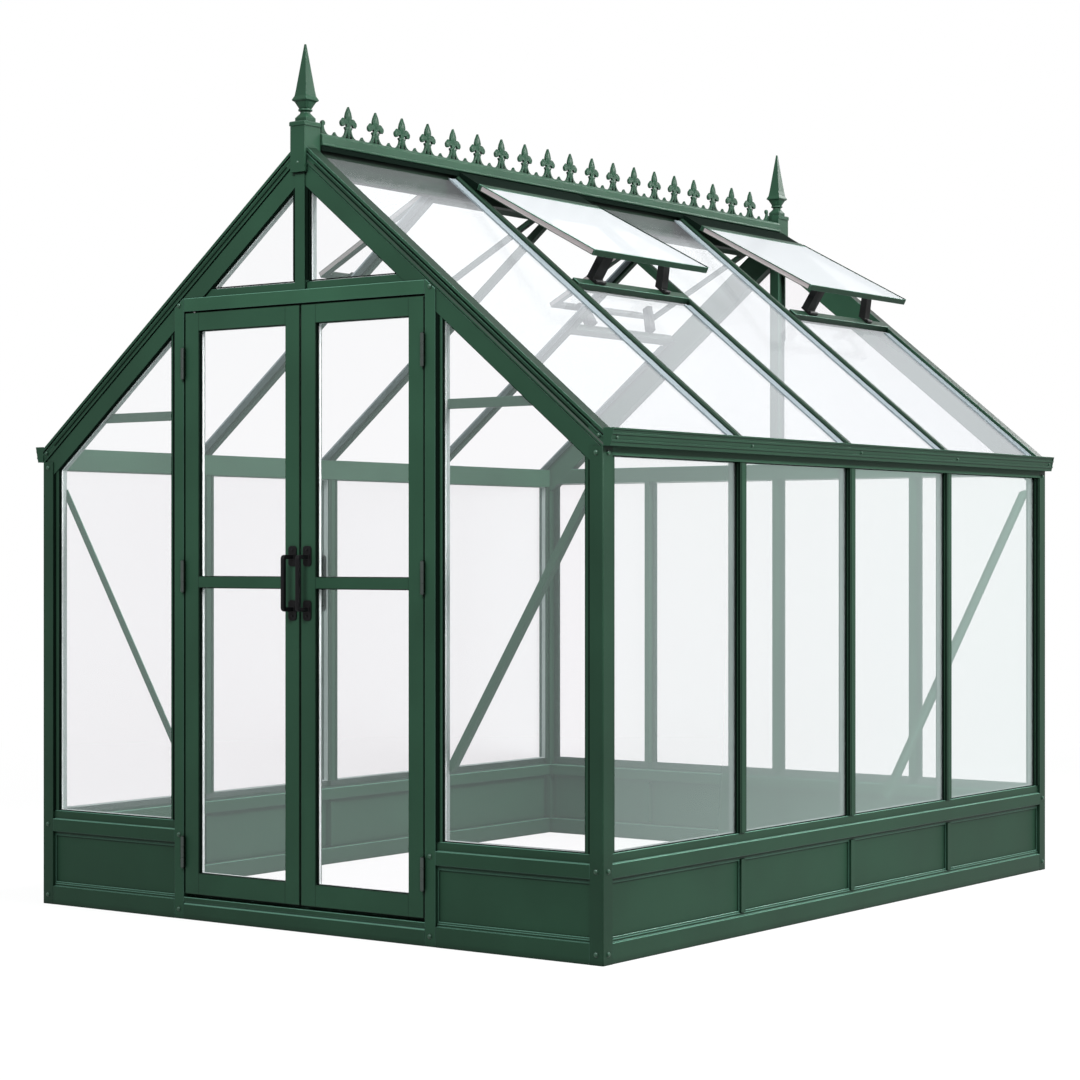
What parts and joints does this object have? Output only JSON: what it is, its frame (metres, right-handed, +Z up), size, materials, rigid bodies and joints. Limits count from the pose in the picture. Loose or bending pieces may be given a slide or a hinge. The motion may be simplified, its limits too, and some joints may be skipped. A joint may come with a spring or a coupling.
{
  "type": "glass greenhouse",
  "caption": "Free-standing glazed garden greenhouse with a panelled dwarf wall, pitched glass roof, ridge cresting and finials, opening double doors and propped roof vents.",
  "frame": {"origin": "on the ground under the middle of the house", "axes": "+X across the front to the right as seen from the doors, +Y from the doors to the rear along the ridge, +Z up"},
  "size_m": [2.516, 3.1165, 2.93],
  "materials": {
    "frame_green": "satin dark green powder coat on aluminium",
    "cast_green": "satin dark green paint on cast aluminium",
    "clear_glass": "clear toughened glass",
    "black_metal": "satin black",
    "hinge_steel": "brushed stainless steel"
  },
  "bodies": {
    "greenhouse": {"corner_posts": "frame_green", "door_header": "frame_green", "door_jambs": "frame_green", "door_sill": "frame_green", "eaves_beams": "frame_green", "finials": "cast_green", "front_base_rails": "frame_green", "front_dwarf_panels": "frame_green", "front_dwarf_rails": "frame_green", "front_wall_glass": "clear_glass", "gable_glass": "clear_glass", "gable_rafters": "frame_green", "gable_rails": "frame_green", "gutters": "frame_green", "jamb_hinge_knuckles": "hinge_steel", "king_posts": "frame_green", "rear_base_rail": "frame_green", "rear_dwarf_panels": "frame_green", "rear_dwarf_rail": "frame_green", "rear_tie_beam": "frame_green", "rear_wall_glass": "clear_glass", "rear_wall_studs": "frame_green", "ridge_beam": "frame_green", "ridge_cap": "frame_green", "ridge_cresting": "cast_green", "ridge_side_rails": "frame_green", "roof_bars": "frame_green", "roof_glass": "clear_glass", "roof_vent_cills": "frame_green", "roof_vent_frames": "frame_green", "roof_vent_glass": "clear_glass", "roof_vent_stays": "black_metal", "side_base_rails": "frame_green", "side_dwarf_panels": "frame_green", "side_dwarf_rails": "frame_green", "side_wall_bars": "frame_green", "side_wall_glass": "clear_glass", "wall_braces": "frame_green"},
    "left_door": {"left_door_glass": "clear_glass", "left_door_handles": "black_metal", "left_door_hinges": "hinge_steel", "left_door_leaf": "frame_green"},
    "right_door": {"right_door_glass": "clear_glass", "right_door_handles": "black_metal", "right_door_hinges": "hinge_steel", "right_door_leaf": "frame_green"}
  },
  "joints": [
    {"name": "right_door_hinge", "type": "hinge", "parent": "greenhouse", "child": "right_door", "pos_m": [0.525, -1.5325, 0], "axis": [0, 0, 1], "range_deg": [0, 110]},
    {"name": "left_door_hinge", "type": "hinge", "parent": "greenhouse", "child": "left_door", "pos_m": [-0.525, -1.5325, 0], "axis": [0, 0, -1], "range_deg": [0, 110]}
  ]
}
